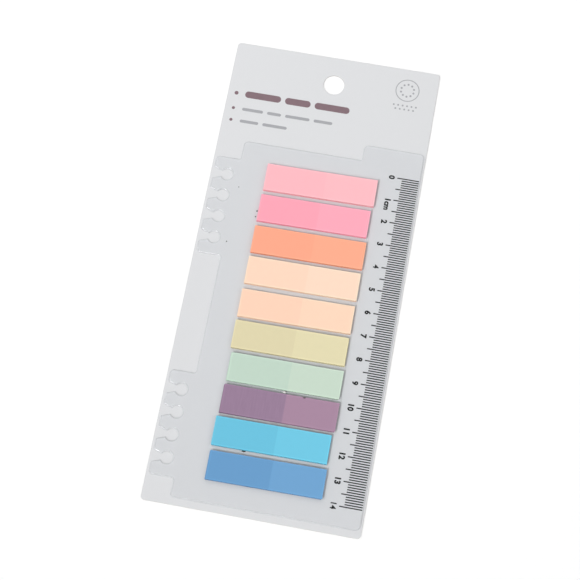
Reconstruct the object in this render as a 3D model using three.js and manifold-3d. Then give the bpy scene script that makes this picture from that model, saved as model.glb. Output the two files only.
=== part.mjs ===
// Sticky index tabs: ten pads of paper tabs on a punched plastic ruler sheet,
// which is taped to a white backing card with a hang hole.
//
// Millimetres. The card lies on its back on the plane z = 0, with its centre at the
// origin. +X is to the right of the card, +Y is towards the hang hole, +Z is up.

import * as THREE from 'three';
import { mergeVertices } from 'three/addons/utils/BufferGeometryUtils.js';
import Module from 'manifold-3d';

// Backing card
const cardWidth = 88;
const cardHeight = 201.3;
const cardThickness = 0.5;
const cardCorner = 1.5;
const hangHoleDiameter = 8.8;
const hangHoleDrop = 12.6; // from the top edge of the card to the middle of the hole

// Two strips of double-sided tape between the card and the sheet
const tapeThickness = 0.1;
const tapeLength = 50;
const tapeWidth = 12;

// Ruler sheet: a broad body, a divider tab at its top right, a punched strip at its left
const sheetThickness = 0.4;
const sheetFoot = 2.95; // from the bottom edge of the card to that of the sheet
const sheetMargin = 0.8; // from the right edge of the card to that of the sheet
const bodyWidth = 75.8;
const bodyHeight = 153.6;
const tabWidth = 25.6;
const tabHeight = 7.1;
const stripDepth = 10.3;
const stripDrop = 8.5; // from the top edge of the body to that of the strip
const stripFoot = 7.6; // from the bottom edge of the body to that of the strip
const outerCorner = 2;
const stripCorner = 1.6;
const innerCorner = 1;

// Ring-binder punches: two groups of open-sided holes, and a notch between the groups
const punchDiameter = 5.1;
const punchInset = 5.9; // from the left edge of the strip to the middle of a hole
const punchMargin = 7; // least distance from an end of the strip to the middle of a hole
const punchPitch = 9.42;
const punchesSkipped = 6; // least number of places left out at the notch
const neckWidth = 2.6;
const mouthWidth = 5.2;
const mouthCorner = 0.7;
const notchMargin = 7.5; // from the nearest hole's middle to the notch

// Printed scale on the right edge of the sheet, as a low relief
const inkHeight = 0.05;
const scaleDrop = 5.3; // from the top edge of the body to the zero line
const scaleFoot = 8; // least distance from the last line to the bottom edge of the body
const divisionPitch = 1;
const divisionsPerLongLine = 5;
const lineInset = 0.45;
const shortLine = 7.2;
const longLine = 9.2;
const lineWidth = 0.32;

// Pads of tabs
const padLength = 46.6;
const padWidth = 11.8;
const leafThickness = 0.09;
const leavesInPad = 20;
const padDrop = 14.6; // from the top edge of the body to the middle of the first pad
const padFoot = 15.25; // from the bottom edge of the body to the middle of the last pad
const padInset = 11.8; // from the left edge of the body to the pads

// Each pad's name and colour, how far it was stuck off its nominal place, along X in
// millimetres and along Y as a share of the gap between two pads, its turn in degrees,
// and how far its top leaf has slid along X past its lowest leaf
const pads = [
	[ 'light_pink_pad', 0xffbec6, 0, 0, 0.75, 0.1 ],
	[ 'pink_pad', 0xffadbd, - 0.35, - 0.08, 0.6, 0 ],
	[ 'orange_pad', 0xffaf91, 0, - 0.2, 0.6, 0.05 ],
	[ 'peach_pad', 0xffdec6, 0.05, - 0.12, 0.5, 0 ],
	[ 'apricot_pad', 0xffdabf, 0, - 0.36, 0.6, 0.05 ],
	[ 'khaki_pad', 0xe4dbb3, 0.1, - 0.26, 0.4, - 0.1 ],
	[ 'mint_pad', 0xc8dccc, 0.5, - 0.3, 0.25, 0 ],
	[ 'mauve_pad', 0xa4869f, 0.3, 0, 0.3, 0.8 ],
	[ 'sky_pad', 0x71c9e4, 0.1, 0.1, 0.35, 0 ],
	[ 'blue_pad', 0x70a4d0, 0.2, 0, 0.5, 0.5 ],
];

// Header print on the card, as a low relief: three bullets, each with a row of plain bars,
// and on the right a ring of dots over two rows of small dots
const headerRows = [
	{ drop: 23.4, bulletDiameter: 1.7, barHeight: 3, bars: [ 15.5, 11, 15 ] },
	{ drop: 30.4, bulletDiameter: 1.35, barHeight: 1.3, bars: [ 9, 6, 10.5, 8 ] },
	{ drop: 35.9, bulletDiameter: 1.35, barHeight: 1.3, bars: [ 8, 10.5 ] },
];
const bulletInset = 3.7;
const barInset = 7.5;
const barGap = 1.8;
const barRounding = 0.49; // share of a bar's height, so its ends are all but half round
const badgeInset = 12.7;
const badgeDrop = 9.7;
const badgeDiameter = 10.2;
const badgeLine = 0.35;
const badgeDots = 10;
const badgeDotCircle = 5.6;
const badgeDotDiameter = 0.9;
const dotRows = [ 6, 5 ];
const dotDiameter = 0.8;
const dotPitch = 1.9;
const dotRowDrop = 2.05; // from the foot of the ring to the middle of the first row
const dotRowPitch = 1.7;

// Places that follow from the sizes
const cardRight = cardWidth / 2;
const cardTop = cardHeight / 2;
const cardFace = cardThickness;
const sheetBack = cardFace + tapeThickness;
const sheetFace = sheetBack + sheetThickness;
const padThickness = leafThickness * leavesInPad;

const bodyRight = cardRight - sheetMargin;
const bodyLeft = bodyRight - bodyWidth;
const bodyBottom = - cardTop + sheetFoot;
const bodyTop = bodyBottom + bodyHeight;
const tabLeft = bodyRight - tabWidth;
const tabTop = bodyTop + tabHeight;
const stripLeft = bodyLeft - stripDepth;
const stripBottom = bodyBottom + stripFoot;
const stripTop = bodyTop - stripDrop;
const padPitch = ( bodyHeight - padDrop - padFoot ) / ( pads.length - 1 );
const padGap = padPitch - padWidth;

const arcStep = THREE.MathUtils.degToRad( 15 );

// Points along an arc, without its last one
function arcPoints( x, y, radius, from, to ) {

	const count = Math.max( 2, Math.round( Math.abs( to - from ) / arcStep ) );
	const points = [];
	for ( let i = 0; i < count; i ++ ) {

		const angle = from + ( to - from ) * i / count;
		points.push( new THREE.Vector2( x + radius * Math.cos( angle ), y + radius * Math.sin( angle ) ) );

	}

	return points;

}

// A closed outline through corners given as [ x, y, radius ], each rounded by its radius
function roundedOutline( corners ) {

	const points = [];
	corners.forEach( ( [ x, y, radius ], i ) => {

		const corner = new THREE.Vector2( x, y );
		if ( radius === 0 ) {

			points.push( corner );
			return;

		}

		const [ lastX, lastY ] = corners.at( i - 1 );
		const [ nextX, nextY ] = corners[ ( i + 1 ) % corners.length ];
		const back = new THREE.Vector2( lastX, lastY ).sub( corner ).normalize();
		const ahead = new THREE.Vector2( nextX, nextY ).sub( corner ).normalize();
		const half = Math.acos( back.dot( ahead ) ) / 2;
		const inward = back.clone().add( ahead ).normalize();
		const middle = corner.clone().addScaledVector( inward, radius / Math.sin( half ) );
		const first = corner.clone().addScaledVector( back, radius / Math.tan( half ) );
		const last = corner.clone().addScaledVector( ahead, radius / Math.tan( half ) );
		const start = first.sub( middle ).angle();
		const sweep = Math.sign( ahead.cross( back ) ) * ( Math.PI - 2 * half );
		points.push( ...arcPoints( middle.x, middle.y, radius, start, start + sweep ), last );

	} );
	return new THREE.Shape( points );

}

// The outline of a round disc
function disc( x, y, diameter ) {

	return new THREE.Shape( arcPoints( x, y, diameter / 2, 0, 2 * Math.PI ) );

}

// The outline of a bar between two corners, with its own corners rounded
function bar( left, bottom, right, top, radius ) {

	return roundedOutline( [
		[ left, bottom, radius ],
		[ right, bottom, radius ],
		[ right, top, radius ],
		[ left, top, radius ],
	] );

}

// A flat piece: an outline pushed up from one height to another
function slab( outline, low, high ) {

	const geometry = new THREE.ExtrudeGeometry( outline, { depth: 1, bevelEnabled: false } );
	const places = geometry.getAttribute( 'position' );
	for ( let i = 0; i < places.count; i ++ ) {

		places.setZ( i, places.getZ( i ) > 0.5 ? high : low );

	}

	return geometry;

}

const wasm = await Module();
wasm.setup();

function solidFrom( geometry ) {

	const bare = geometry.clone();
	bare.deleteAttribute( 'normal' );
	bare.deleteAttribute( 'uv' );
	const merged = mergeVertices( bare, 1e-5 );
	return new wasm.Manifold( new wasm.Mesh( {
		numProp: 3,
		vertProperties: merged.getAttribute( 'position' ).array,
		triVerts: Uint32Array.from( merged.getIndex().array ),
	} ) );

}

function geometryFrom( solid ) {

	const mesh = solid.getMesh();
	const geometry = new THREE.BufferGeometry();
	geometry.setAttribute( 'position', new THREE.BufferAttribute( mesh.vertProperties, 3 ) );
	geometry.setIndex( new THREE.BufferAttribute( mesh.triVerts, 1 ) );
	geometry.computeVertexNormals();
	return geometry;

}

// A flat piece with print on its upper face, where the ink stands up as a low relief
function printedSlab( outline, low, high, print ) {

	let solid = solidFrom( slab( outline, low, high ) );
	for ( const shape of print ) {

		solid = solid.add( solidFrom( slab( shape, high - inkHeight, high + inkHeight ) ) );

	}

	return geometryFrom( solid );

}

function named( name, geometry, color, roughness ) {

	const material = new THREE.MeshStandardMaterial( { color, roughness, metalness: 0 } );
	const mesh = new THREE.Mesh( geometry, material );
	mesh.name = name;
	return mesh;

}

// Backing card: coated board with a round hang hole, and the header print
function headerPrint() {

	const shapes = [];
	for ( const { drop, bulletDiameter, barHeight, bars } of headerRows ) {

		const y = cardTop - drop;
		shapes.push( disc( - cardRight + bulletInset, y, bulletDiameter ) );
		let left = - cardRight + barInset;
		for ( const length of bars ) {

			const right = left + length;
			shapes.push( bar( left, y - barHeight / 2, right, y + barHeight / 2, barHeight * barRounding ) );
			left = right + barGap;

		}

	}

	const badgeX = cardRight - badgeInset;
	const badgeY = cardTop - badgeDrop;
	const ring = disc( badgeX, badgeY, badgeDiameter );
	ring.holes.push( disc( badgeX, badgeY, badgeDiameter - 2 * badgeLine ) );
	shapes.push( ring );
	for ( let i = 0; i < badgeDots; i ++ ) {

		const angle = 2 * Math.PI * i / badgeDots;
		const x = badgeX + badgeDotCircle / 2 * Math.sin( angle );
		const y = badgeY + badgeDotCircle / 2 * Math.cos( angle );
		shapes.push( disc( x, y, badgeDotDiameter ) );

	}

	dotRows.forEach( ( count, row ) => {

		const y = badgeY - badgeDiameter / 2 - dotRowDrop - row * dotRowPitch;
		for ( let i = 0; i < count; i ++ ) {

			shapes.push( disc( badgeX + dotPitch * ( i - ( count - 1 ) / 2 ), y, dotDiameter ) );

		}

	} );
	return shapes;

}

function backingCard() {

	const outline = bar( - cardRight, - cardTop, cardRight, cardTop, cardCorner );
	outline.holes.push( disc( 0, cardTop - hangHoleDrop, hangHoleDiameter ) );
	return named( 'backing_card', printedSlab( outline, 0, cardFace, headerPrint() ), 0xe1e2e4, 0.55 );

}

// The middle of each pad's nominal place
const padsMiddle = bodyLeft + padInset + padLength / 2;

function padY( index ) {

	return bodyTop - padDrop - index * padPitch;

}

// Tape: a strip behind the first pad and one behind the last
function tapeStrip( name, y ) {

	const left = padsMiddle - tapeLength / 2;
	const outline = bar( left, y - tapeWidth / 2, left + tapeLength, y + tapeWidth / 2, 0 );
	return named( name, slab( outline, cardFace, sheetBack ), 0xf2f2ee, 0.6 );

}

// Ruler sheet. One punch is a round hole with a narrow neck and a mouth that flares
// to the edge of the strip.
const punchX = stripLeft + punchInset;
const punchRadius = punchDiameter / 2;
const punchPlaces = 1 + Math.floor( ( stripTop - stripBottom - 2 * punchMargin ) / punchPitch );
const punchesInGroup = Math.floor( ( punchPlaces - punchesSkipped ) / 2 );

function punchY( index ) {

	return ( stripTop + stripBottom + ( punchPlaces - 1 ) * punchPitch ) / 2 - index * punchPitch;

}

function punchCorners( index ) {

	const y = punchY( index );
	const lip = Math.PI - Math.asin( neckWidth / 2 / punchRadius );
	const hole = arcPoints( punchX, y, punchRadius, lip, - lip );
	return [
		[ stripLeft, y + mouthWidth / 2, mouthCorner ],
		...hole.map( ( point ) => [ point.x, point.y, 0 ] ),
		[ punchX + punchRadius * Math.cos( lip ), y - neckWidth / 2, 0 ],
		[ stripLeft, y - mouthWidth / 2, mouthCorner ],
	];

}

function punchGroup( first ) {

	const corners = [];
	for ( let i = first; i < first + punchesInGroup; i ++ ) {

		corners.push( ...punchCorners( i ) );

	}

	return corners;

}

function sheetOutline() {

	const secondGroup = punchPlaces - punchesInGroup;
	const notchTop = punchY( punchesInGroup - 1 ) - notchMargin;
	const notchBottom = punchY( secondGroup ) + notchMargin;
	return roundedOutline( [
		[ bodyLeft, bodyBottom, innerCorner ],
		[ bodyRight, bodyBottom, outerCorner ],
		[ bodyRight, tabTop, outerCorner ],
		[ tabLeft, tabTop, outerCorner ],
		[ tabLeft, bodyTop, innerCorner ],
		[ bodyLeft, bodyTop, outerCorner ],
		[ bodyLeft, stripTop, innerCorner ],
		[ stripLeft, stripTop, stripCorner ],
		...punchGroup( 0 ),
		[ stripLeft, notchTop, stripCorner ],
		[ bodyLeft, notchTop, innerCorner ],
		[ bodyLeft, notchBottom, innerCorner ],
		[ stripLeft, notchBottom, stripCorner ],
		...punchGroup( secondGroup ),
		[ stripLeft, stripBottom, stripCorner ],
		[ bodyLeft, stripBottom, innerCorner ],
	] );

}

function scaleLines() {

	const right = bodyRight - lineInset;
	const divisions = Math.floor( ( bodyHeight - scaleDrop - scaleFoot ) / divisionPitch );
	const lines = [];
	for ( let i = 0; i <= divisions; i ++ ) {

		const y = bodyTop - scaleDrop - i * divisionPitch;
		const length = i % divisionsPerLongLine === 0 ? longLine : shortLine;
		lines.push( bar( right - length, y - lineWidth / 2, right, y + lineWidth / 2, 0 ) );

	}

	return lines;

}

function rulerSheet() {

	const geometry = printedSlab( sheetOutline(), sheetBack, sheetFace, scaleLines() );
	return named( 'ruler_sheet', geometry, 0xd9dbde, 0.5 );

}

// A pad: a stack of equal leaves, glued to each other at their left ends. Where the stack
// has slid, its upper face lies a little further along X than its lower face.
function padStack( [ name, color, along, across, turn, slide ], index ) {

	const geometry = slab( bar( - padLength / 2, - padWidth / 2, padLength / 2, padWidth / 2, 0 ), 0, 1 );
	const places = geometry.getAttribute( 'position' );
	for ( let i = 0; i < places.count; i ++ ) {

		const isUpper = places.getZ( i ) > 0.5;
		places.setX( i, places.getX( i ) + ( isUpper ? slide : 0 ) );
		places.setZ( i, isUpper ? sheetFace + padThickness : sheetFace );

	}

	geometry.rotateZ( THREE.MathUtils.degToRad( turn ) );
	geometry.translate( padsMiddle + along, padY( index ) + across * padGap, 0 );
	return named( name, geometry, color, 0.7 );

}

const group = new THREE.Group();
group.add( backingCard() );
group.add( tapeStrip( 'upper_tape_strip', padY( 0 ) ) );
group.add( tapeStrip( 'lower_tape_strip', padY( pads.length - 1 ) ) );
group.add( rulerSheet() );
pads.forEach( ( pad, index ) => group.add( padStack( pad, index ) ) );

export default group;
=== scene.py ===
# %% [markdown]
# Sticky index tabs on a ruler sheet
#
# Ten pads of paper tabs are stuck on a frosted plastic ruler sheet, and the sheet is taped to
# a white card with a hang hole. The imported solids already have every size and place, so this
# script takes its places from them and gives each piece the detail that a solid leaves out:
# loose leaves, cut edges, ink, and paper and plastic that look like paper and plastic.

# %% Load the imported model
import math
import random
import bpy
from mathutils import Matrix, Vector


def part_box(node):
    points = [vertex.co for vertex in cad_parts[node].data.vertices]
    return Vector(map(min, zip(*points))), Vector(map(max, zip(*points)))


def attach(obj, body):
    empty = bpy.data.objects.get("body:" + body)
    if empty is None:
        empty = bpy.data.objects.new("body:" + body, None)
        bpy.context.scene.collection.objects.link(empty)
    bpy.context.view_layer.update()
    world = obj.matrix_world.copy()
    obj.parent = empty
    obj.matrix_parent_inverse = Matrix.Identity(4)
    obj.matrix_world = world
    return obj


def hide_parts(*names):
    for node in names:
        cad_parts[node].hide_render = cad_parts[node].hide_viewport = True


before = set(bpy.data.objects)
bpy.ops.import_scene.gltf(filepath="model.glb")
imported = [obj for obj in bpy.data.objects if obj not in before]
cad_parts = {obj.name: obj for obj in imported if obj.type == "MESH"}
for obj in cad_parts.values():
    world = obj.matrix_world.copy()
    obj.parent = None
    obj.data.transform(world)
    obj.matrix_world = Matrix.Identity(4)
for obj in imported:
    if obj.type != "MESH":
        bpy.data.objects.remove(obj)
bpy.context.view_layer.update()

print("CAD nodes:", sorted(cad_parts))

# %% [markdown]
# Working in millimetres
#
# The pieces are thin: the ink is a twentieth of a millimetre high. Blender's tools merge
# points that are closer than a tenth of a millimetre when a unit is a metre, so each piece is
# modelled with one unit to the millimetre and made small at the end.

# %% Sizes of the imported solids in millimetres
MM = 0.001


def in_mm(node):
    """The lowest and highest corner of a CAD node, in millimetres."""
    low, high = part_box(node)
    return low / MM, high / MM


INK_HEIGHT = 0.05
card_low, card_high = in_mm("backing_card")
sheet_low, sheet_high = in_mm("ruler_sheet")
card_face = card_high.z - INK_HEIGHT
sheet_face = sheet_high.z - INK_HEIGHT
print("card", [round(v, 2) for v in card_high - card_low], "face at", round(card_face, 3))
print("sheet", [round(v, 2) for v in sheet_high - sheet_low], "face at", round(sheet_face, 3))

# %% [markdown]
# A few tools for the workbench
#
# Every step of the modelling is one that a person would do by hand: add a block or a disc,
# pick some edges or faces by where they are, and bevel, extrude or cut. An operator acts on
# all that is selected, so each of these helpers begins with nothing selected. A cutter stands
# out by a clearance on both sides of what it cuts, so that no two faces lie in one plane.

# %% Picking and adding
TINY = 1e-3
DISC_SIDES = 48
FINE_SIDES = 72
CLEARANCE = 1.0


def clear_selection():
    """Back to object mode, with nothing selected."""
    if bpy.context.mode != "OBJECT":
        bpy.ops.object.mode_set(mode="OBJECT")
    bpy.ops.object.select_all(action="DESELECT")


def pick(piece):
    """Make one object the selected and active one."""
    clear_selection()
    piece.select_set(True)
    bpy.context.view_layer.objects.active = piece


def add_block(name, low, high):
    """A block between two corners."""
    clear_selection()
    middle = [(a + b) / 2 for a, b in zip(low, high)]
    size = [b - a for a, b in zip(low, high)]
    bpy.ops.mesh.primitive_cube_add(size=1, location=middle, scale=size)
    bpy.ops.object.transform_apply()
    block = bpy.context.object
    block.name = name
    return block


def add_disc(name, x, y, diameter, low, high, sides=DISC_SIDES):
    """A round disc between two heights."""
    clear_selection()
    middle = (x, y, (low + high) / 2)
    bpy.ops.mesh.primitive_cylinder_add(
        vertices=sides, radius=diameter / 2, depth=high - low, location=middle)
    bpy.ops.object.transform_apply()
    disc = bpy.context.object
    disc.name = name
    return disc


def join(name, pieces):
    """Several objects become one."""
    clear_selection()
    for piece in pieces:
        piece.select_set(True)
    bpy.context.view_layer.objects.active = pieces[0]
    if len(pieces) > 1:
        bpy.ops.object.join()
    pieces[0].name = name
    return pieces[0]


def copy_of(piece):
    """A copy with its own mesh."""
    twin = piece.copy()
    twin.data = piece.data.copy()
    bpy.context.collection.objects.link(twin)
    return twin


# %% Shaping
def everything(points):
    """A test that every edge or face passes."""
    return True


def edit(piece, kind, wanted):
    """Into edit mode, with only those edges or faces selected whose points pass a test."""
    pick(piece)
    bpy.ops.object.mode_set(mode="EDIT")
    bpy.ops.mesh.select_mode(type=kind)
    bpy.ops.mesh.select_all(action="DESELECT")
    bpy.ops.object.mode_set(mode="OBJECT")
    mesh = piece.data
    parts = mesh.edges if kind == "EDGE" else mesh.polygons
    for part in parts:
        part.select = wanted([mesh.vertices[index].co for index in part.vertices])
    bpy.ops.object.mode_set(mode="EDIT")


def is_upright(points):
    """True for an edge that runs straight up."""
    return (points[0].xy - points[1].xy).length < TINY


def round_corners(piece, corners, radius, segments=8):
    """Round the upright edges that stand at the given places."""
    places = [Vector(corner) for corner in corners]
    edit(piece, "EDGE", lambda points: is_upright(points) and any(
        (points[0].xy - place).length < TINY for place in places))
    bpy.ops.mesh.bevel(offset=radius, segments=segments, profile=0.5, affect="EDGES")
    clear_selection()


def bisect(piece, point, normal):
    """Score the whole piece along a plane, so that its parts can be picked one by one."""
    edit(piece, "FACE", everything)
    bpy.ops.mesh.bisect(plane_co=point, plane_no=normal)
    clear_selection()


def extrude(piece, wanted, along):
    """Pull the picked faces out."""
    edit(piece, "FACE", wanted)
    bpy.ops.mesh.extrude_region_move(TRANSFORM_OT_translate={"value": along})
    clear_selection()


NEARLY_FLAT = math.radians(1)


def dissolve_scores(piece):
    """Take away the edges that lie inside a flat face."""
    edit(piece, "FACE", everything)
    bpy.ops.mesh.dissolve_limited(angle_limit=NEARLY_FLAT)
    clear_selection()


def use_modifier(piece, kind, **settings):
    """Add a modifier, set it, and apply it."""
    pick(piece)
    modifier = piece.modifiers.new(kind.lower(), kind)
    for name, value in settings.items():
        setattr(modifier, name, value)
    bpy.ops.object.modifier_apply(modifier=modifier.name)


def cut(piece, cutter):
    """Take the cutter's shape out of the piece."""
    use_modifier(piece, "BOOLEAN", operation="DIFFERENCE", solver="EXACT", object=cutter)
    bpy.data.objects.remove(cutter)


SHARP = math.radians(50)


def soften_rims(piece, width, segments=2):
    """A narrow round along every sharp edge, so that the edge catches the light."""
    use_modifier(piece, "BEVEL", width=width, segments=segments,
                 limit_method="ANGLE", angle_limit=SHARP)


# %% [markdown]
# Small tools for materials
#
# A material here is a few nodes round one Principled shader. An effect that several materials
# share, such as paper fibre, is a node group with named sockets, built once. The groups read
# Object coordinates, which are metres in the real object, so a grain has its true size.

# %% Nodes
def paint(code):
    """A colour as a screen shows it, such as "e1e2e4", as the linear values nodes use."""
    values = [int(code[i:i + 2], 16) / 255 for i in (0, 2, 4)]
    linear = [v / 12.92 if v <= 0.04045 else ((v + 0.055) / 1.055) ** 2.4 for v in values]
    return (*linear, 1)


def add_node(tree, kind, inputs=None, **settings):
    """Add a node, set its properties, and set or link its inputs."""
    node = tree.nodes.new(kind)
    for name, value in settings.items():
        setattr(node, name, value)
    for socket, value in (inputs or {}).items():
        if isinstance(value, bpy.types.NodeSocket):
            tree.links.new(value, node.inputs[socket])
        else:
            node.inputs[socket].default_value = value
    return node


def maths(tree, operation, first, second=0.0):
    """One sum on two values or sockets."""
    return add_node(tree, "ShaderNodeMath", {0: first, 1: second}, operation=operation).outputs[0]


def spread(tree, value, low, high, new_low, new_high):
    """Move a value from one range into another, and stop at its ends."""
    inputs = {"Value": value, 1: low, 2: high, 3: new_low, 4: new_high}
    return add_node(tree, "ShaderNodeMapRange", inputs).outputs[0]


def noise(tree, place, scale, detail=2.0, stretch=(1, 1, 1)):
    """A cloud of values round one half, with its size set per metre."""
    mapping = add_node(tree, "ShaderNodeMapping", {"Vector": place, "Scale": stretch})
    inputs = {"Vector": mapping.outputs[0], "Scale": scale, "Detail": detail}
    return add_node(tree, "ShaderNodeTexNoise", inputs).outputs[0]


def blend_colours(tree, share, first, second):
    """A mix of two colours."""
    inputs = {"Factor": share, 6: first, 7: second}
    return add_node(tree, "ShaderNodeMix", inputs, data_type="RGBA").outputs[2]


KINDS = {"Vector": "NodeSocketVector", "Colour": "NodeSocketColor", "Value": "NodeSocketFloat"}


def new_group(name, inputs, outputs):
    """A node group. Inputs and outputs are pairs of a socket's name and its kind."""
    group = bpy.data.node_groups.new(name, "ShaderNodeTree")
    for label, kind in inputs:
        group.interface.new_socket(name=label, in_out="INPUT", socket_type=KINDS[kind])
    for label, kind in outputs:
        group.interface.new_socket(name=label, in_out="OUTPUT", socket_type=KINDS[kind])
    return group, group.nodes.new("NodeGroupInput").outputs, group.nodes.new("NodeGroupOutput")


def new_material(name, roughness, **constants):
    """A material with one Principled shader, whose constants sit on its own sockets."""
    material = bpy.data.materials.new(name)
    material.use_nodes = True
    tree = material.node_tree
    tree.nodes.clear()
    shader = add_node(tree, "ShaderNodeBsdfPrincipled", {"Roughness": roughness})
    for socket, value in constants.items():
        shader.inputs[socket.replace("_", " ")].default_value = value
    add_node(tree, "ShaderNodeOutputMaterial", {"Surface": shader.outputs[0]})
    return material, tree, shader


def use_group(tree, group, inputs):
    """Place a node group in a material."""
    return add_node(tree, "ShaderNodeGroup", inputs, node_tree=group).outputs


def object_place(tree):
    """Where a point is on the object, in metres."""
    return add_node(tree, "ShaderNodeTexCoord").outputs["Object"]


def bump(tree, shader, height, distance, strength=1.0):
    """Feed a height to the shader's normal. The distance is in metres."""
    node = add_node(tree, "ShaderNodeBump", {"Height": height, "Distance": distance,
                                             "Strength": strength})
    tree.links.new(node.outputs[0], shader.inputs["Normal"])


# %% [markdown]
# What every paper has: fibre
#
# Seen close, paper isn't one colour. The pulp is cloudy over a few millimetres, and fine
# fibres run mostly one way. The group makes both from noise, and gives back the tinted colour
# and the height of the fibres for a bump.

# %% Paper fibre
CLOUD_SCALE = 420
FIBRE_SCALE = 1500
FIBRE_STRETCH = (1, 3.2, 1)

fibre_group, given, result = new_group(
    "paper_fibre",
    [("Place", "Vector"), ("Colour", "Colour"), ("Amount", "Value")],
    [("Colour", "Colour"), ("Height", "Value")])
tree = fibre_group
cloud = noise(tree, given["Place"], CLOUD_SCALE, 3.0)
fibres = noise(tree, given["Place"], FIBRE_SCALE, 3.0, FIBRE_STRETCH)
both = maths(tree, "MULTIPLY", maths(tree, "ADD", cloud, fibres), 0.5)
offset = maths(tree, "MULTIPLY", maths(tree, "SUBTRACT", both, 0.5), given["Amount"])
tinted = add_node(tree, "ShaderNodeHueSaturation",
                  {"Value": maths(tree, "ADD", offset, 1.0), "Color": given["Colour"]})
tree.links.new(tinted.outputs[0], result.inputs["Colour"])
tree.links.new(fibres, result.inputs["Height"])
print("group", fibre_group.name)

# %% [markdown]
# What every coated or plastic face has: handling
#
# A smooth face isn't equally glossy all over. Fingers leave broad soft patches and packing
# leaves faint rubbed streaks, and both show only in the gloss. The group gives back a
# roughness round the given one.

# %% Handling marks
PATCH_SCALE = 45
RUB_SCALE = 260
RUB_STRETCH = (1, 0.12, 1)
PATCH_SHARE = 0.6

handling_group, given, result = new_group(
    "handling_marks",
    [("Place", "Vector"), ("Roughness", "Value"), ("Amount", "Value")],
    [("Roughness", "Value")])
tree = handling_group
patches = noise(tree, given["Place"], PATCH_SCALE, 4.0)
patches = maths(tree, "MULTIPLY", patches, PATCH_SHARE)
rubs = noise(tree, given["Place"], RUB_SCALE, 3.0, RUB_STRETCH)
both = maths(tree, "ADD", patches, maths(tree, "MULTIPLY", rubs, 1 - PATCH_SHARE))
offset = maths(tree, "MULTIPLY", maths(tree, "SUBTRACT", both, 0.5), given["Amount"])
tree.links.new(maths(tree, "ADD", given["Roughness"], offset), result.inputs["Roughness"])
print("group", handling_group.name)

# %% [markdown]
# Finishing a piece
#
# A finished piece sits at the origin with its place in its mesh, as the CAD nodes do. It rides
# on the one body, takes its materials, and may stand for a CAD node.

# %% Finish
LEVEL = 0.9999
SMOOTH_BELOW = math.radians(35)
DOUBLED = 1e-4


def recalculate(piece):
    """Merge doubled points and turn every face outwards."""
    edit(piece, "FACE", everything)
    bpy.ops.mesh.remove_doubles(threshold=DOUBLED)
    bpy.ops.mesh.normals_make_consistent(inside=False)
    clear_selection()


def finish_piece(piece, materials, stands_for=None):
    """Millimetres become metres, and the piece gets its body and materials."""
    pick(piece)
    piece.scale = (MM, MM, MM)
    bpy.ops.object.transform_apply()
    bpy.ops.object.shade_smooth_by_angle(angle=SMOOTH_BELOW)
    for face in piece.data.polygons:
        if abs(face.normal.z) > LEVEL:
            face.use_smooth = False
    for material in materials:
        piece.data.materials.append(material)
    piece.data.name = piece.name
    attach(piece, "root")
    if stands_for:
        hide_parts(stands_for)
    print(piece.name, len(piece.data.polygons), "faces")


def by_direction(piece, upward, downward, sideways):
    """Give each face a material by the way it looks."""
    for face in piece.data.polygons:
        if face.normal.z > 0.5:
            face.material_index = upward
        elif face.normal.z < -0.5:
            face.material_index = downward
        else:
            face.material_index = sideways


# %% [markdown]
# The card
#
# The card is white board, coated on its printed side, die-cut with round corners and a round
# hang hole. It could be a plane with thickness added, but a block lets the corners be rounded
# first and the rim softened last, as the die leaves it.

# %% Card
CARD_CORNER = 1.5
HANG_HOLE_DIAMETER = 8.8
HANG_HOLE_DROP = 12.6
CARD_RIM = 0.06

card_top = Vector((card_high.x, card_high.y, card_face))
card = add_block("card_board", card_low, card_top)
corners = [(x, y) for x in (card_low.x, card_high.x) for y in (card_low.y, card_high.y)]
round_corners(card, corners, CARD_CORNER)
hole = add_disc("hang_hole", 0, card_high.y - HANG_HOLE_DROP, HANG_HOLE_DIAMETER,
                card_low.z - CLEARANCE, card_face + CLEARANCE, FINE_SIDES)
cut(card, hole)
recalculate(card)
soften_rims(card, CARD_RIM)
print("card faces:", len(card.data.polygons))

# %% [markdown]
# The coating is a thin layer of white clay. It is smooth and slightly grey in the photo, with
# hardly any grain. The back is bare board, where the pulp shows, and the cut edge is rougher.
# Its colour is darker than both: partly the bare board's own tone, partly painted shade for the
# thin shadow that lines the cut edges.

# %% Card materials
CARD_WHITE = paint("dbdcde")
BARE_BOARD = paint("d6d3cd")
# Partly the bare board's own tone, partly painted shade along the cut edge.
CUT_BOARD_AND_SHADE = paint("bdbab6")
BOARD_HANDLING = 0.18


def board(name, colour, roughness, fibre, depth):
    """Board with some fibre and some handling marks."""
    material, tree, shader = new_material(name, roughness)
    place = object_place(tree)
    pulp = use_group(tree, fibre_group, {"Place": place, "Colour": colour, "Amount": fibre})
    marks = use_group(tree, handling_group,
                      {"Place": place, "Roughness": roughness, "Amount": BOARD_HANDLING})
    tree.links.new(pulp["Colour"], shader.inputs["Base Color"])
    tree.links.new(marks["Roughness"], shader.inputs["Roughness"])
    bump(tree, shader, pulp["Height"], depth)
    return material


coated_face = board("coated_face", CARD_WHITE, roughness=0.48, fibre=0.03, depth=0.000004)
bare_back = board("bare_back", BARE_BOARD, roughness=0.8, fibre=0.14, depth=0.00003)
cut_edge_and_shade = board("cut_board_edge_shaded", CUT_BOARD_AND_SHADE, roughness=0.85, fibre=0.2, depth=0.00004)
by_direction(card, 0, 1, 2)
finish_piece(card, [coated_face, bare_back, cut_edge_and_shade], "backing_card")

# %% [markdown]
# The print on the card
#
# Three rows begin with a round bullet, and each goes on with plain rounded bars. At the right a
# thin ring holds a circle of dots, over two short rows of dots. Each mark is ink, so it is a
# very thin piece that sinks a little into the card's face. A row of the table says: how far it
# stands below the card's top, its bullet's width, its bars' height, and their lengths.

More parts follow.
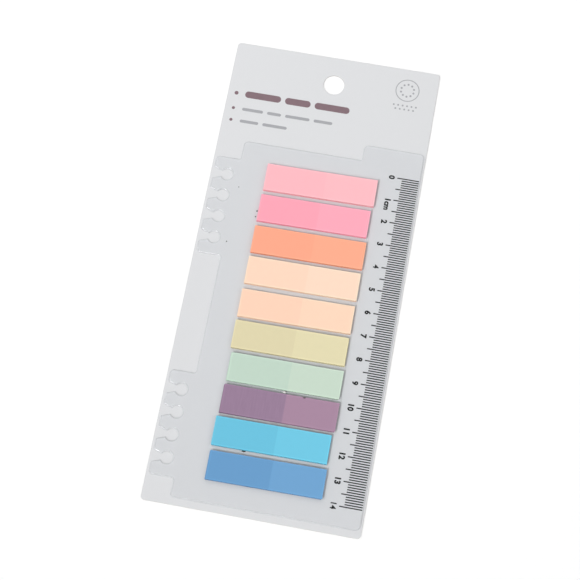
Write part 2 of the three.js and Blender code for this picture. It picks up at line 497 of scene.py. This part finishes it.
# %% Bars and bullets
INK_SINK = 0.01
INK_RIM = 0.012
BULLET_INSET = 3.7
BULLET_SIDES = 24
BAR_INSET = 7.5
BAR_GAP = 1.8
BAR_ROUNDING = 0.49
HEADER_ROWS = [
    (23.4, 1.7, 3.0, [15.5, 11, 15]),
    (30.4, 1.35, 1.3, [9, 6, 10.5, 8]),
    (35.9, 1.35, 1.3, [8, 10.5]),
]
ink_low = card_face - INK_SINK
ink_high = card_face + INK_HEIGHT

plum_marks = []
grey_marks = []
for row, (drop, bullet_diameter, bar_height, lengths) in enumerate(HEADER_ROWS):
    y = card_high.y - drop
    marks = plum_marks if row == 0 else grey_marks
    bullet = add_disc("bullet", card_low.x + BULLET_INSET, y, bullet_diameter,
                      ink_low, ink_high, BULLET_SIDES)
    plum_marks.append(bullet)
    left = card_low.x + BAR_INSET
    for length in lengths:
        low = (left, y - bar_height / 2, ink_low)
        high = (left + length, y + bar_height / 2, ink_high)
        bar = add_block("bar", low, high)
        ends = [(x, y + side * bar_height / 2) for x in (left, left + length) for side in (-1, 1)]
        round_corners(bar, ends, bar_height * BAR_ROUNDING)
        marks.append(bar)
        left += length + BAR_GAP
print("marks in rows:", len(plum_marks), "dark,", len(grey_marks), "grey")

# %% Ring and dots
BADGE_INSET = 12.7
BADGE_DROP = 9.7
BADGE_DIAMETER = 10.2
BADGE_LINE = 0.35
BADGE_DOTS = 10
BADGE_DOT_CIRCLE = 5.6
BADGE_DOT_DIAMETER = 0.9
DOT_ROWS = [6, 5]
DOT_DIAMETER = 0.8
DOT_SIDES = 16
DOT_PITCH = 1.9
DOT_ROW_DROP = 2.05
DOT_ROW_PITCH = 1.7
badge_x = card_high.x - BADGE_INSET
badge_y = card_high.y - BADGE_DROP

ring = add_disc("ring", badge_x, badge_y, BADGE_DIAMETER, ink_low, ink_high, FINE_SIDES)
inside_diameter = BADGE_DIAMETER - 2 * BADGE_LINE
cut(ring, add_disc("ring_hole", badge_x, badge_y, inside_diameter,
                   ink_low - CLEARANCE, ink_high + CLEARANCE, FINE_SIDES))
recalculate(ring)

dot_places = []
for index in range(BADGE_DOTS):
    angle = math.tau * index / BADGE_DOTS
    radius = BADGE_DOT_CIRCLE / 2
    place = (badge_x + radius * math.sin(angle), badge_y + radius * math.cos(angle))
    dot_places.append((*place, BADGE_DOT_DIAMETER))
for row, count in enumerate(DOT_ROWS):
    y = badge_y - BADGE_DIAMETER / 2 - DOT_ROW_DROP - row * DOT_ROW_PITCH
    for index in range(count):
        x = badge_x + DOT_PITCH * (index - (count - 1) / 2)
        dot_places.append((x, y, DOT_DIAMETER))
dots = [add_disc("dot", x, y, diameter, ink_low, ink_high, DOT_SIDES)
        for x, y, diameter in dot_places]
print("ring of", len(ring.data.polygons), "faces, and", len(dots), "dots")

# %% [markdown]
# Ink soaks into a coating unevenly, so its colour is a little cloudy, and it is glossier than
# the card. One helper makes every ink: the dark plum of the first row, the grey of the rest,
# and the black of the sheet's scale.

# %% Ink
PLUM = paint("7d666d")
GREY = paint("a3a4a8")
BLACK = paint("161718")
INK_HANDLING = 0.2
INK_GRAIN = 0.000003


def ink(name, colour, roughness, cloudiness, shine):
    """Printed ink with an uneven film."""
    material, tree, shader = new_material(name, roughness, Specular_IOR_Level=shine)
    place = object_place(tree)
    film = use_group(tree, fibre_group, {"Place": place, "Colour": colour, "Amount": cloudiness})
    marks = use_group(tree, handling_group,
                      {"Place": place, "Roughness": roughness, "Amount": INK_HANDLING})
    tree.links.new(film["Colour"], shader.inputs["Base Color"])
    tree.links.new(marks["Roughness"], shader.inputs["Roughness"])
    bump(tree, shader, film["Height"], INK_GRAIN)
    return material


plum_ink = ink("plum_ink", PLUM, roughness=0.45, cloudiness=0.4, shine=0.4)
grey_ink = ink("grey_ink", GREY, roughness=0.5, cloudiness=0.25, shine=0.5)
black_ink = ink("black_ink", BLACK, roughness=0.5, cloudiness=0.4, shine=0.2)

header = join("header_plum_print", plum_marks)
soften_rims(header, INK_RIM, 1)
finish_piece(header, [plum_ink])
small_print = join("header_grey_print", [ring, *dots, *grey_marks])
soften_rims(small_print, INK_RIM, 1)
finish_piece(small_print, [grey_ink])

# %% [markdown]
# The tape
#
# Two strips of tissue tape hold the sheet on the card. They stay as CAD nodes and get a
# material of thin white tissue.

# %% Tape
TISSUE_WHITE = paint("e6e6e2")
tape_paper = board("tape_tissue", TISSUE_WHITE, roughness=0.6, fibre=0.12, depth=0.00001)
for node in ("upper_tape_strip", "lower_tape_strip"):
    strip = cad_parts[node]
    strip.data.materials.clear()
    strip.data.materials.append(tape_paper)
print("tape strips dressed")

# %% [markdown]
# The ruler sheet
#
# The sheet is stamped from one piece of film: a broad body, a divider tab at its top right,
# and at its left a strip that is interrupted by a notch. It could be drawn as one outline and
# given a thickness. Here it grows as a block: the body is scored where the other parts begin,
# and they are pulled out of its sides, so every corner can be picked and rounded by place.

# %% Sheet body, tab and strip
TAB_WIDTH = 25.6
TAB_HEIGHT = 7.1
STRIP_DEPTH = 10.3
STRIP_DROP = 8.5
STRIP_FOOT = 7.6
OUTER_CORNER = 2.0
STRIP_CORNER = 1.6
INNER_CORNER = 1.0
PUNCH_PITCH = 9.42
PUNCH_PLACES = 14
PUNCHES_IN_GROUP = 4
NOTCH_MARGIN = 7.5

body_top = sheet_high.y - TAB_HEIGHT
body_left = sheet_low.x + STRIP_DEPTH
tab_left = sheet_high.x - TAB_WIDTH
strip_top = body_top - STRIP_DROP
strip_bottom = sheet_low.y + STRIP_FOOT
middle = (strip_top + strip_bottom) / 2
punch_places = [middle + PUNCH_PITCH * ((PUNCH_PLACES - 1) / 2 - i) for i in range(PUNCH_PLACES)]
upper_punches = punch_places[:PUNCHES_IN_GROUP]
lower_punches = punch_places[-PUNCHES_IN_GROUP:]
notch_top = upper_punches[-1] - NOTCH_MARGIN
notch_bottom = lower_punches[0] + NOTCH_MARGIN

sheet = add_block("ruler_film", (body_left, sheet_low.y, sheet_low.z),
                  (sheet_high.x, body_top, sheet_face))
for y in (strip_top, notch_top, notch_bottom, strip_bottom):
    bisect(sheet, (0, y, 0), (0, 1, 0))
bisect(sheet, (tab_left, 0, 0), (1, 0, 0))


def on_left_side(points):
    """True for the body's left faces in the heights of the strip."""
    y = sum(point.y for point in points) / len(points)
    in_strip = notch_top < y < strip_top or strip_bottom < y < notch_bottom
    return in_strip and all(abs(point.x - body_left) < TINY for point in points)


def on_top_side(points):
    """True for the body's top face at the right, where the tab grows."""
    x = sum(point.x for point in points) / len(points)
    return x > tab_left and all(abs(point.y - body_top) < TINY for point in points)


extrude(sheet, on_left_side, (-STRIP_DEPTH, 0, 0))
extrude(sheet, on_top_side, (0, TAB_HEIGHT, 0))
dissolve_scores(sheet)
print("sheet outline has", len(sheet.data.vertices) // 2, "corners")

# %% Sheet corners
strip_left = sheet_low.x
right = sheet_high.x
ends_of_strip = (strip_top, notch_top, notch_bottom, strip_bottom)
round_corners(sheet, [(right, sheet_low.y), (right, sheet_high.y), (tab_left, sheet_high.y),
                      (body_left, body_top)], OUTER_CORNER)
round_corners(sheet, [(strip_left, y) for y in ends_of_strip], STRIP_CORNER)
round_corners(sheet, [(tab_left, body_top), (body_left, sheet_low.y)]
              + [(body_left, y) for y in ends_of_strip], INNER_CORNER)
print("rounded outline has", len(sheet.data.vertices) // 2, "points")

# %% [markdown]
# The binder punches
#
# Each punch is a round hole that opens to the edge through a narrow neck with a flared mouth,
# so that the sheet can be pressed onto binder rings. A block with one side made wider is the
# wedge that cuts the mouth, and a disc cuts the hole behind it, at each of the eight places.
# The lips of the mouths are rounded after the cuts.

# %% Punches
PUNCH_DIAMETER = 5.1
PUNCH_INSET = 5.9
NECK_WIDTH = 2.6
MOUTH_WIDTH = 5.2
MOUTH_CORNER = 0.5
OVERCUT = 1.0
punch_x = strip_left + PUNCH_INSET
lip_x = punch_x - math.sqrt((PUNCH_DIAMETER / 2) ** 2 - (NECK_WIDTH / 2) ** 2)
flare = (MOUTH_WIDTH - NECK_WIDTH) / 2 / (lip_x - strip_left)


def wedge_half(x):
    """Half the width of the mouth's wedge at x."""
    return NECK_WIDTH / 2 + flare * (lip_x - x)


wedge_in = lip_x + OVERCUT
wedge_out = strip_left - OVERCUT
for y in upper_punches + lower_punches:
    half = wedge_half(wedge_in)
    wedge = add_block("wedge", (wedge_out, y - half, sheet_low.z - CLEARANCE),
                      (wedge_in, y + half, sheet_face + CLEARANCE))
    edit(wedge, "FACE", lambda points: all(abs(p.x - wedge_out) < TINY for p in points))
    bpy.ops.transform.resize(value=(1, wedge_half(wedge_out) / half, 1))
    clear_selection()
    cut(sheet, wedge)
    cut(sheet, add_disc("punch", punch_x, y, PUNCH_DIAMETER,
                        sheet_low.z - CLEARANCE, sheet_face + CLEARANCE))
lips = [(strip_left, y + side * MOUTH_WIDTH / 2)
        for y in upper_punches + lower_punches for side in (-1, 1)]
recalculate(sheet)
dissolve_scores(sheet)
round_corners(sheet, lips, MOUTH_CORNER, 4)
print("punched outline has", len(sheet.data.vertices) // 2, "points")

# %% [markdown]
# The film
#
# The film is frosted polypropylene: light gets into it and comes out softened, so the white
# card under it shows as a cool grey. A part of the light is let through, and a fine frost
# roughens the face. The stamped edge is smoother and glossier.

# %% Film materials
FILM_GREY = paint("e4e6e9")
FILM_CLEARNESS = 0.2
FILM_CLOUDS = 0.02
FILM_HANDLING = 0.25
FROST_SCALE = 5200
FROST_DEPTH = 0.000006


def film(name, colour, roughness, clearness):
    """Frosted plastic film."""
    material, tree, shader = new_material(name, roughness, IOR=1.49,
                                          Transmission_Weight=clearness)
    place = object_place(tree)
    tone = use_group(tree, fibre_group, {"Place": place, "Colour": colour, "Amount": FILM_CLOUDS})
    marks = use_group(tree, handling_group,
                      {"Place": place, "Roughness": roughness, "Amount": FILM_HANDLING})
    tree.links.new(tone["Colour"], shader.inputs["Base Color"])
    tree.links.new(marks["Roughness"], shader.inputs["Roughness"])
    frost = noise(tree, place, FROST_SCALE, 2.0)
    bump(tree, shader, frost, FROST_DEPTH)
    return material


film_face = film("frosted_face", FILM_GREY, roughness=0.46, clearness=FILM_CLEARNESS)
film_edge = film("stamped_edge", FILM_GREY, roughness=0.22, clearness=FILM_CLEARNESS)
print("film materials:", film_face.name, film_edge.name)

# %% [markdown]
# The film's edge
#
# In the photo a thin dark line and a thin light line follow each other round the sheet and its
# punches. A die leaves such a bead: it presses the edge round and pushes a low ridge up beside
# it. The top edges are bevelled, and then the top face is inset twice, up and down again.

# %% Bead round the film
FILM_RIM = 0.16
BEAD_OUTER = 0.08
BEAD_INNER = 0.22
BEAD_HEIGHT = 0.045


def on_top_face(points):
    """True for an edge or face that lies in the sheet's top."""
    return all(abs(point.z - sheet_face) < TINY for point in points)


edit(sheet, "EDGE", on_top_face)
bpy.ops.mesh.bevel(offset=FILM_RIM, segments=3, profile=0.5, affect="EDGES")
edit(sheet, "FACE", on_top_face)
bpy.ops.mesh.inset(thickness=BEAD_OUTER, depth=BEAD_HEIGHT)
bpy.ops.mesh.inset(thickness=BEAD_INNER, depth=-BEAD_HEIGHT)
clear_selection()
for face in sheet.data.polygons:
    face.material_index = 0 if abs(face.normal.z) > LEVEL else 1
finish_piece(sheet, [film_face, film_edge], "ruler_sheet")

# %% [markdown]
# The printed scale
#
# A line stands at every millimetre, and every fifth is longer. One short line is modelled,
# with a softened rim, and an Array modifier repeats it four times. With one long line that
# makes five millimetres, and a second Array repeats those down the sheet.

# %% Scale lines
SCALE_DROP = 5.3
DIVISION = 1.0
LINES_IN_GROUP = 5
GROUPS = 28
LINE_INSET = 0.45
SHORT_LINE = 7.2
LONG_LINE = 9.2
LINE_WIDTH = 0.46
zero_y = body_top - SCALE_DROP
line_right = right - LINE_INSET
film_ink_low = sheet_face - INK_SINK
film_ink_high = sheet_face + INK_HEIGHT


def add_line(y, length):
    """One printed line, softened at its rim."""
    line = add_block("line", (line_right - length, y - LINE_WIDTH / 2, film_ink_low),
                     (line_right, y + LINE_WIDTH / 2, film_ink_high))
    soften_rims(line, INK_RIM, 1)
    return line


short_lines = add_line(zero_y - DIVISION, SHORT_LINE)
use_modifier(short_lines, "ARRAY", count=LINES_IN_GROUP - 1, use_relative_offset=False,
             use_constant_offset=True, constant_offset_displace=(0, -DIVISION, 0))
five = join("five", [short_lines, add_line(zero_y, LONG_LINE)])
use_modifier(five, "ARRAY", count=GROUPS, use_relative_offset=False,
             use_constant_offset=True, constant_offset_displace=(0, -DIVISION * LINES_IN_GROUP, 0))
last_line = add_line(zero_y - DIVISION * LINES_IN_GROUP * GROUPS, LONG_LINE)
scale_lines = join("scale_lines", [five, last_line])
finish_piece(scale_lines, [black_ink])

# %% [markdown]
# The scale's numbers
#
# Plain bold numbers stand beside every centimetre, turned a quarter clockwise so that they
# read along the ruler. They are text objects, made a mesh before they are turned and placed.
# The outline is pushed outwards to make them bold, but less in a four, whose small triangle
# would close.

# %% Scale numbers
NUMBERS = 15
NUMBER_X = 30.15
NUMBER_SIZE = 3.2
NUMBER_BOLDNESS = 0.15
FOUR_BOLDNESS = 0.085
CENTIMETRE = 10.0
UNIT_SHIFT = 2.1


def add_number(words, y):
    """A number whose middle is at y, as a thin mesh of ink."""
    clear_selection()
    bpy.ops.object.text_add()
    number = bpy.context.object
    number.data.body = words
    number.data.size = NUMBER_SIZE
    number.data.offset = FOUR_BOLDNESS if "4" in words else NUMBER_BOLDNESS
    number.data.extrude = (film_ink_high - film_ink_low) / 2
    number.data.resolution_u = 4
    number.data.align_x = "CENTER"
    bpy.ops.object.convert(target="MESH")
    number = bpy.context.object
    middle = (film_ink_high + film_ink_low) / 2
    place = Matrix.Translation((NUMBER_X, y, middle))
    number.matrix_world = place @ Matrix.Rotation(math.radians(-90), 4, "Z")
    bpy.ops.object.transform_apply()
    recalculate(number)
    return number


numbers = []
for centimetre in range(NUMBERS):
    y = zero_y - centimetre * CENTIMETRE
    if centimetre == 1:
        numbers.append(add_number("1cm", y - UNIT_SHIFT))
    else:
        numbers.append(add_number(str(centimetre), y))
scale_numbers = join("scale_numbers", numbers)
finish_piece(scale_numbers, [black_ink])

# %% [markdown]
# A leaf of a pad
#
# A tab is a strip of thin tinted paper. Its left half has glue on its back, so it lies flat,
# and its right half is free. The leaf is a block that is divided along its length, so that
# its free end can lift a little. It carries a UV map that runs along and across it, where the
# cut sides lie on a tile of their own, so that painted shade can darken them there.

# %% One leaf
LEAF_LENGTH = 46.6
LEAF_WIDTH = 11.8
LEAVES = 20
LEAF_PITCH = 0.0845
LEAF_THICKNESS = 0.076
LEAF_CUTS = 11
LEAF_CORNER = 0.12
GLUED_SHARE = 0.54
SIDE_TILE = 2

half_length = LEAF_LENGTH / 2
half_width = LEAF_WIDTH / 2
leaf = add_block("leaf", (-half_length, -half_width, 0), (half_length, half_width, LEAF_THICKNESS))
edit(leaf, "EDGE", lambda points: abs(points[0].x - points[1].x) > LEAF_LENGTH / 2)
bpy.ops.mesh.subdivide(number_cuts=LEAF_CUTS)
clear_selection()
corners = [(x, y) for x in (-half_length, half_length) for y in (-half_width, half_width)]
round_corners(leaf, corners, LEAF_CORNER, 2)
uv_map = leaf.data.uv_layers[0]
for face in leaf.data.polygons:
    tile = 0 if abs(face.normal.z) > 0.5 else SIDE_TILE
    for index in face.loop_indices:
        point = leaf.data.vertices[leaf.data.loops[index].vertex_index].co
        uv_map.data[index].uv = (point.x / LEAF_LENGTH + 0.5 + tile, point.y / LEAF_WIDTH + 0.5)
print("leaf faces:", len(leaf.data.polygons))

# %% [markdown]
# The paper of the tabs
#
# Where the glue holds the leaves together the colour is deeper, and where they are free it is
# lighter, with a straight boundary across the tab. A thin pale rim along each edge is a
# painted highlight, where the cut edge catches the light. The cut sides of a stack are painted
# darker and deeper in colour than its top, most of all in the cool colours: painted shade for
# the shade between the leaves and on the walls. The mauve tab also shows faint streaks across
# it. One group makes all this from the leaf's UV map: the highlight's and the streaks'
# strengths and the level of the sides' painted shade are its sockets.

# %% Leaf tones
BOUNDARY = 0.004
# Painted highlight: a pale rim along each edge of a leaf, where the cut catches the light.
EDGE_HIGHLIGHT_FULL = 0.1
EDGE_HIGHLIGHT_WIDTH = 0.75
STREAK_STRETCH = (75, 1.5, 1)
# Painted shade: the cut sides of a stack are darkened and deepened in colour.
SIDE_SHADE_DEPTH = 1.3
tone_group, given, result = new_group(
    "leaf_tones",
    [("Place", "Vector"), ("Glued", "Colour"), ("Free", "Colour"), ("Edge Highlight", "Value"),
     ("Streaks", "Value"), ("Side", "Value")],
    [("Colour", "Colour")])
tree = tone_group
axes = add_node(tree, "ShaderNodeSeparateXYZ", {"Vector": given["Place"]}).outputs
is_side = maths(tree, "GREATER_THAN", axes[0], SIDE_TILE - 0.5)
u = maths(tree, "SUBTRACT", axes[0], maths(tree, "MULTIPLY", is_side, SIDE_TILE))
is_free = spread(tree, u, GLUED_SHARE - BOUNDARY, GLUED_SHARE + BOUNDARY, 0, 1)
streak = noise(tree, given["Place"], 1.0, 3.0, STREAK_STRETCH)
streak = maths(tree, "MULTIPLY", maths(tree, "SUBTRACT", streak, 0.5), given["Streaks"])
streak = maths(tree, "MULTIPLY", streak, maths(tree, "SUBTRACT", 1.0, is_free))
along = maths(tree, "MULTIPLY", maths(tree, "PINGPONG", u, 0.5), LEAF_LENGTH)
across = maths(tree, "MULTIPLY", maths(tree, "PINGPONG", axes[1], 0.5), LEAF_WIDTH)
from_edge = maths(tree, "MINIMUM", along, across)
# The pale rim along the edges is a painted highlight.
edge_highlight = spread(tree, from_edge, EDGE_HIGHLIGHT_FULL, EDGE_HIGHLIGHT_WIDTH, 1, 0)
edge_highlight = maths(tree, "MULTIPLY", edge_highlight, given["Edge Highlight"])
flat_colour = blend_colours(tree, is_free, given["Glued"], given["Free"])
brightness = maths(tree, "ADD", maths(tree, "ADD", 1.0, edge_highlight), streak)
# Painted shade on the cut sides: darker here and, below, deeper in colour.
shade = spread(tree, is_side, 0, 1, 1, given["Side"])
lit = add_node(tree, "ShaderNodeHueSaturation", {
    "Value": maths(tree, "MULTIPLY", brightness, shade), "Color": flat_colour})
side_shade_gamma = spread(tree, is_side, 0, 1, 1, SIDE_SHADE_DEPTH)
deep = add_node(tree, "ShaderNodeGamma", {"Color": lit.outputs[0], "Gamma": side_shade_gamma})
leaf_colour = add_node(tree, "ShaderNodeVectorMath", {0: deep.outputs[0], 1: (1, 1, 1)},
                       operation="MINIMUM")
tree.links.new(leaf_colour.outputs[0], result.inputs["Colour"])
print("group", tone_group.name)

# %% Tab paper
PAPER_ROUGHNESS = 0.78
# Strength of the painted highlight along the leaves' edges.
EDGE_HIGHLIGHT = 0.12
PAPER_CLOUDS = 0.08
FIBRE_DEPTH = 0.000012


def leaf_paper(name, glued, free, side, streaks):
    """The paper of one pad."""
    material, tree, shader = new_material(name, PAPER_ROUGHNESS)
    coordinates = add_node(tree, "ShaderNodeTexCoord").outputs
    tones = use_group(tree, tone_group, {
        "Place": coordinates["UV"], "Glued": paint(glued), "Free": paint(free),
        "Edge Highlight": EDGE_HIGHLIGHT, "Streaks": streaks, "Side": side})
    pulp = use_group(tree, fibre_group, {
        "Place": coordinates["Object"], "Colour": tones["Colour"], "Amount": PAPER_CLOUDS})
    tree.links.new(pulp["Colour"], shader.inputs["Base Color"])
    bump(tree, shader, pulp["Height"], FIBRE_DEPTH)
    return material


# %% [markdown]
# The pads
#
# A pad is a stack of twenty leaves. Nobody stacks them perfectly: each leaf lies a few
# hundredths of a millimetre off its neighbour, some pads have slid along, two are cut a little
# short, and every pad was stuck on slightly turned. The free ends fan out towards the top. The
# small shifts are drawn from a seeded random series, so each run gives the same pads.
#
# A row of the table says: the pad's name, its colour where it is glued and where it is free,
# the level of the painted shade on its cut sides, its turn in degrees, how far its top has
# slid along and how far the pad lies off its place in millimetres, and the strength of its
# streaks.

# %% Stack the pads
PAD_SEED = 20
END_LIFT = 0.1
SHIFT = 0.035
TURN_SHIFT = 0.04
CUT_SHORTER = {"pink": 0.6, "mint": 0.8}
# The fourth column is the level of the painted shade on the pad's cut sides.
PADS = [
    ("light_pink", "ffbac2", "ffbdc4", 0.78, 0.75, (0.1, 0.0), 0.0),
    ("pink", "ffa5b7", "ffaabc", 0.78, 0.6, (0.2, 0.0), 0.0),
    ("orange", "ffa98a", "ffad8d", 0.66, 0.6, (0.05, 0.0), 0.0),
    ("peach", "ffdac1", "ffdec6", 0.74, 0.5, (0.0, 0.0), 0.0),
    ("apricot", "ffd5bb", "ffdabf", 0.72, 0.6, (0.05, 0.0), 0.0),
    ("khaki", "e0d6ae", "e5dcb3", 0.52, 0.4, (-0.1, 0.0), 0.0),
    ("mint", "c2d8c8", "c9dccb", 0.42, 0.25, (0.4, 0.0), 0.0),
    ("mauve", "967b95", "a7869e", 0.45, 0.3, (0.5, -0.2), 0.25),
    ("sky", "68c3e0", "6ecae6", 0.4, 0.35, (0.0, 0.0), 0.0),
    ("blue", "659bca", "6da3d1", 0.42, 0.5, (0.5, 0.0), 0.0),
]


def stack_pad(name, turn, slide, shift, series):
    """Copies of the leaf, from the sheet up, joined into one pad."""
    low, high = in_mm(name + "_pad")
    trim = Matrix.Scale(1 - CUT_SHORTER.get(name, 0) / LEAF_LENGTH, 4, (1, 0, 0))
    leaves = []
    for level in range(LEAVES):
        share = level / (LEAVES - 1)
        sheet_of_paper = copy_of(leaf)
        for vertex in sheet_of_paper.data.vertices:
            along = (vertex.co.x + half_length) / LEAF_LENGTH
            free = max(0.0, (along - GLUED_SHARE) / (1 - GLUED_SHARE))
            vertex.co.z += END_LIFT * share * free ** 2
        x = (low.x + high.x) / 2 + (share - 0.5) * slide + series.uniform(-SHIFT, SHIFT)
        y = (low.y + high.y) / 2 + shift + series.uniform(-SHIFT, SHIFT)
        angle = math.radians(turn + series.uniform(-TURN_SHIFT, TURN_SHIFT))
        place = Matrix.Translation((x, y, low.z + level * LEAF_PITCH))
        sheet_of_paper.data.transform(place @ Matrix.Rotation(angle, 4, "Z") @ trim)
        leaves.append(sheet_of_paper)
    return join(name + "_leaves", leaves)


series = random.Random(PAD_SEED)
for name, glued, free, side, turn, (slide, shift), streaks in PADS:
    pad = stack_pad(name, turn, slide, shift, series)
    paper = leaf_paper(name + "_paper", glued, free, side, streaks)
    finish_piece(pad, [paper], name + "_pad")
bpy.data.objects.remove(leaf)

# %% [markdown]
# Specks
#
# The real object isn't spotless: dark specks lie on the film and on the mauve pad, and a tiny
# white bead of glue sits between two pads. Each is a small sphere that is squashed and pulled
# out of round, because a grain of dirt never is a ball, and it sinks a little into its face.
# A row gives a grain's place and width, and those on the mauve pad start a tenth of a
# millimetre under its face.

# %% Specks
SPECK_FLATNESS = 0.4
GRAIN_BASE = 0.3
UNEVENNESS = (0.85, 1.1)
GRIT_SCALE = 9000
DIRT_DARK = paint("221f1d")
DIRT_LIGHT = paint("403c39")
PAD_TOP = 2.6
SPECKS = [
    (-31.0, 35.0, sheet_face, 0.42),
    (-21.45, 25.8, sheet_face, 0.65),
    (-21.6, 23.3, sheet_face, 0.5),
    (-31.3, 10.5, sheet_face, 0.55),
    (12.0, -49.5, PAD_TOP, 0.5),
    (12.4, -49.45, PAD_TOP, 0.6),
    (12.85, -49.4, PAD_TOP, 0.45),
    (-7.95, -74.7, sheet_face, 0.65),
    (-7.45, -74.75, sheet_face, 0.75),
    (-6.95, -74.7, sheet_face, 0.6),
]


def add_grain(x, y, z, width, flatness, series):
    """A squashed, uneven grain that rests on its face."""
    clear_selection()
    bpy.ops.mesh.primitive_ico_sphere_add(subdivisions=2, radius=width / 2)
    grain = bpy.context.object
    for vertex in grain.data.vertices:
        vertex.co *= series.uniform(*UNEVENNESS)
        vertex.co.z = max(vertex.co.z, -width * GRAIN_BASE) * flatness
    height = z + width * GRAIN_BASE * flatness - INK_SINK
    grain.data.transform(Matrix.Translation((x, y, height)))
    return grain


speck_dirt, tree, shader = new_material("speck_dirt", 0.8)
grit = noise(tree, object_place(tree), GRIT_SCALE, 2.0)
dirt = blend_colours(tree, grit, DIRT_DARK, DIRT_LIGHT)
tree.links.new(dirt, shader.inputs["Base Color"])
specks = join("specks", [add_grain(*speck, SPECK_FLATNESS, series) for speck in SPECKS])
finish_piece(specks, [speck_dirt])

# %% Glue bead
BEAD = (4.1, -48.45, sheet_face, 1.5)
BEAD_FLATNESS = 1.2
BEAD_SEED = 3
CLOUDING_SCALE = 4000
GLUE_WHITE = paint("fbfbf8")
GLUE_GREY = paint("eeeee9")
bead_glue, tree, shader = new_material("bead_glue", 0.1, IOR=1.48, Transmission_Weight=0.1)
clouding = noise(tree, object_place(tree), CLOUDING_SCALE, 2.0)
glue_colour = blend_colours(tree, clouding, GLUE_WHITE, GLUE_GREY)
tree.links.new(glue_colour, shader.inputs["Base Color"])
bead = add_grain(*BEAD, BEAD_FLATNESS, random.Random(BEAD_SEED))
bead.name = "glue_bead"
use_modifier(bead, "SUBSURF", levels=2, render_levels=2)
finish_piece(bead, [bead_glue])

# %% [markdown]
# The light
#
# The object was photographed on white, under broad soft light. The shadows say where it came
# from: they are darkest past the far sides and the right ends of the pads, and faint at their
# left ends. So a main lamp stands at the lower left and a weaker, softer one at the right, a
# panel hangs at the upper left, whose sheen brings out the film's edges, and an even sky fills
# the rest. Together they light a level face at a strength of about one, so a colour renders
# about as written. A row of the table says: a lamp's name, the direction towards it, the level
# at which it lights a level face, and its softness in degrees.

# %% Lamps
LAMPS = [
    ("main_lamp", Vector((-0.4, -0.62, 1.0)), 0.44, 14),
    ("second_lamp", Vector((0.6, -0.2, 1.0)), 0.15, 60),
]

for name, direction, level, softness in LAMPS:
    clear_selection()
    bpy.ops.object.light_add(type="SUN")
    lamp = bpy.context.object
    lamp.name = name
    towards = direction.normalized()
    lamp.rotation_euler = towards.to_track_quat("Z", "Y").to_euler()
    lamp.data.energy = level * math.pi / towards.z
    lamp.data.angle = math.radians(softness)
    print(name, "strength", round(lamp.data.energy, 3))

# %% Panel
PANEL_LEVEL = 0.13
PANEL_PLACE = Vector((-0.25, 0.32, 0.5))
PANEL_SIZE = 0.5

clear_selection()
bpy.ops.object.light_add(type="AREA", location=PANEL_PLACE)
panel = bpy.context.object
panel.name = "head_panel"
panel.rotation_euler = PANEL_PLACE.to_track_quat("Z", "Y").to_euler()
panel.data.size = PANEL_SIZE
slant = PANEL_PLACE.normalized().z
panel.data.energy = PANEL_LEVEL * math.pi ** 2 * PANEL_PLACE.length_squared / slant
print("panel watts", round(panel.data.energy, 3))

# %% [markdown]
# The background is white because the floor and the sky show white to the rays that look at
# them, and not because the object gets more light. The floor still takes the object's shadow.

# %% Sky
SKY_LEVEL = 0.3


def seen_directly(tree):
    """One for the rays that show a background: camera, mirror and through rays."""
    ray = add_node(tree, "ShaderNodeLightPath").outputs
    seen = maths(tree, "MAXIMUM", ray["Is Camera Ray"], ray["Is Glossy Ray"])
    return maths(tree, "MAXIMUM", seen, ray["Is Transmission Ray"])


world = bpy.data.worlds.new("studio_sky")
bpy.context.scene.world = world
world.use_nodes = True
tree = world.node_tree
tree.nodes.clear()
level = spread(tree, seen_directly(tree), 0, 1, SKY_LEVEL, 1.0)
sky = add_node(tree, "ShaderNodeBackground", {"Color": (1, 1, 1, 1), "Strength": level})
add_node(tree, "ShaderNodeOutputWorld", {"Surface": sky.outputs[0]})
print("sky level", SKY_LEVEL)

# %% Floor
FLOOR_SIZE = 4000
FLOOR_GAP = 0.01
FLOOR_LIFT = 0.1
FLOOR_WHITE = (0.93, 0.93, 0.93, 1)

clear_selection()
bpy.ops.mesh.primitive_plane_add(size=FLOOR_SIZE * MM, location=(0, 0, -FLOOR_GAP * MM))
floor = bpy.context.object
floor.name = "floor"
white_floor, tree, shader = new_material("white_floor", 0.9, Base_Color=FLOOR_WHITE,
                                         Emission_Color=(1, 1, 1, 1))
lift = maths(tree, "MULTIPLY", seen_directly(tree), FLOOR_LIFT)
tree.links.new(lift, shader.inputs["Emission Strength"])
floor.data.materials.append(white_floor)
print("floor", FLOOR_GAP, "mm under the card")

# %% [markdown]
# The camera
#
# A pinhole camera was fitted to the four corners of the card in the photograph, and its place
# in millimetres, its turn in degrees and its lens are written here. The object lies on its
# back, and the camera looks down at it from a little to the right of its foot. The lens is
# shifted by half a pixel, because the fit counted from a pixel's middle.

# %% Camera
CAMERA_PLACE = (43.343, -188.931, 604.130)
CAMERA_TURN = (17.3353, 0.9902, 10.5576)
CAMERA_LENS = 95.853
SENSOR_WIDTH = 36
IMAGE_WIDTH = 580
HALF_PIXEL = 0.5 / IMAGE_WIDTH
NEAREST = 0.01

clear_selection()
bpy.ops.object.camera_add(location=[value * MM for value in CAMERA_PLACE],
                          rotation=[math.radians(value) for value in CAMERA_TURN])
camera = bpy.context.object
camera.name = "photo_camera"
camera.data.sensor_width = SENSOR_WIDTH
camera.data.lens = CAMERA_LENS
camera.data.clip_start = NEAREST
camera.data.shift_x = -HALF_PIXEL
camera.data.shift_y = HALF_PIXEL
bpy.context.scene.camera = camera
bpy.context.scene.view_settings.view_transform = "Standard"
print("camera", camera.name, "lens", CAMERA_LENS)
